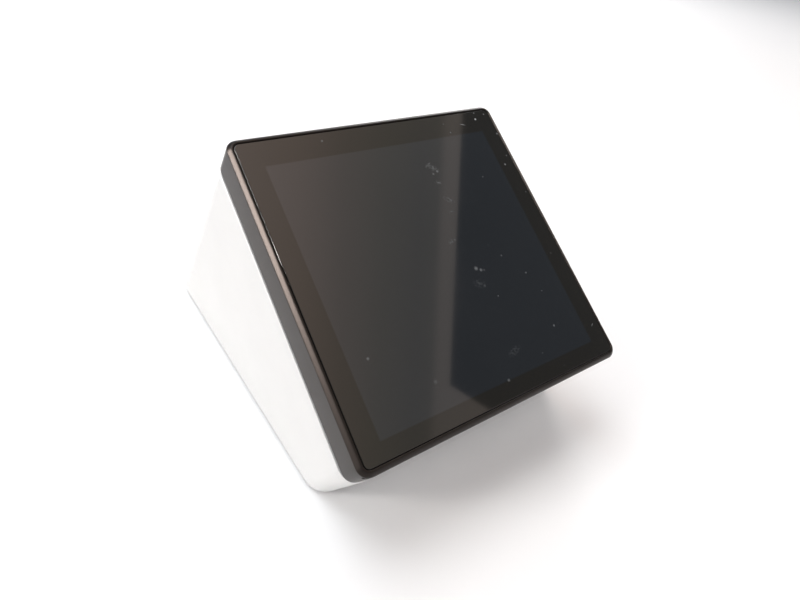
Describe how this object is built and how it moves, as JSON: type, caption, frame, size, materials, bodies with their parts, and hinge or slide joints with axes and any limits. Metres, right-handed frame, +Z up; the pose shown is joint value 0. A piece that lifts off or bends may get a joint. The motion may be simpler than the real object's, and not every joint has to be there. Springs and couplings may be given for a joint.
{
  "type": "smart speaker",
  "caption": "Wedge-shaped desktop smart speaker: square touch display on a white housing with a small speaker, keys and power inlet behind.",
  "frame": {"origin": "on the table at the centre of the footprint", "axes": "+Z up, front towards -Y, +X to the right seen from the front; the display faces up and towards -Y, leaning back 33.5 degrees from flat"},
  "size_m": [0.088, 0.122, 0.0773],
  "materials": {
    "black_plastic": "satin black moulding, fine texture",
    "white_plastic": "smooth white moulding, low sheen",
    "white_key_plastic": "smooth white moulding",
    "white_plastic_inner": "white film stack",
    "display_glass": "black-backed polished cover glass",
    "sensor_film": "dark laminated film",
    "lcd_glass": "dark polarised panel, switched off",
    "black_foam": "closed-cell foam",
    "rubber": "matte rubber",
    "circuit_board": "green solder mask",
    "connector_plastic": "cream connector moulding",
    "flex_film": "amber polyimide film",
    "chip_epoxy": "black epoxy",
    "lead_insulation": "soft insulation",
    "steel": "plated steel",
    "dark_steel": "black plated steel",
    "ferrite": "ground ferrite",
    "cone_paper": "pressed pulp",
    "spider_cloth": "resin-treated corrugated cloth",
    "acoustic_cloth": "fine black acoustic mesh",
    "copper_wire": "enamelled copper winding"
  },
  "bodies": {
    "root": {"front_bezel": "black_plastic", "cover_glass": "display_glass", "glass_gasket": "black_foam", "touch_sensor": "sensor_film", "lcd_panel": "lcd_glass", "backlight_unit": "white_plastic_inner", "mid_plate": "steel", "main_board": "circuit_board", "processor_shield": "steel", "radio_module": "steel", "board_connector": "connector_plastic", "lcd_flex": "flex_film", "touch_flex": "flex_film", "microphone_left": "steel", "microphone_right": "steel", "board_screw_1": "dark_steel", "board_screw_2": "dark_steel", "rear_housing": "white_plastic", "base_plate": "white_plastic", "speaker_grille": "white_plastic", "grille_cloth": "acoustic_cloth", "speaker_gasket": "black_foam", "speaker_basket": "dark_steel", "speaker_top_plate": "steel", "speaker_magnet": "ferrite", "speaker_yoke": "steel", "speaker_surround": "rubber", "speaker_spider": "spider_cloth", "key_switch_1": "dark_steel", "key_switch_2": "dark_steel", "key_switch_3": "dark_steel", "key_board": "circuit_board", "usb_socket": "steel", "power_board": "circuit_board", "amplifier_chip": "chip_epoxy", "speaker_lead": "lead_insulation", "board_lead": "lead_insulation", "panel_screw_1": "dark_steel", "speaker_screw_1": "dark_steel", "panel_screw_2": "dark_steel", "speaker_screw_2": "dark_steel", "panel_screw_3": "dark_steel", "speaker_screw_3": "dark_steel", "panel_screw_4": "dark_steel", "speaker_screw_4": "dark_steel", "foot_front_left": "rubber", "base_screw_front_left": "steel", "foot_front_right": "rubber", "base_screw_front_right": "steel", "foot_rear_left": "rubber", "base_screw_rear_left": "steel", "foot_rear_right": "rubber", "base_screw_rear_right": "steel"},
    "volume_down": {"volume_down_key": "white_key_plastic"},
    "mic_mute": {"mic_mute_key": "white_key_plastic"},
    "volume_up": {"volume_up_key": "white_key_plastic"},
    "cone_assembly": {"speaker_cone": "cone_paper", "speaker_dust_cap": "cone_paper", "speaker_voice_coil": "copper_wire"}
  },
  "joints": [
    {"name": "volume_down_press", "type": "slide", "parent": "root", "child": "volume_down", "axis": [0, -0.8339, -0.5519], "range_m": [0, 0.0005], "stiffness_N_per_m": 600, "springref_m": -0.002},
    {"name": "mic_mute_press", "type": "slide", "parent": "root", "child": "mic_mute", "axis": [0, -0.8339, -0.5519], "range_m": [0, 0.0005], "stiffness_N_per_m": 600, "springref_m": -0.002},
    {"name": "volume_up_press", "type": "slide", "parent": "root", "child": "volume_up", "axis": [0, -0.8339, -0.5519], "range_m": [0, 0.0005], "stiffness_N_per_m": 600, "springref_m": -0.002},
    {"name": "cone_stroke", "type": "slide", "parent": "root", "child": "cone_assembly", "axis": [0, 0.8339, 0.5519], "range_m": [-0.0015, 0.0015], "stiffness_N_per_m": 900, "deforming": ["speaker_surround", "speaker_spider"]}
  ]
}
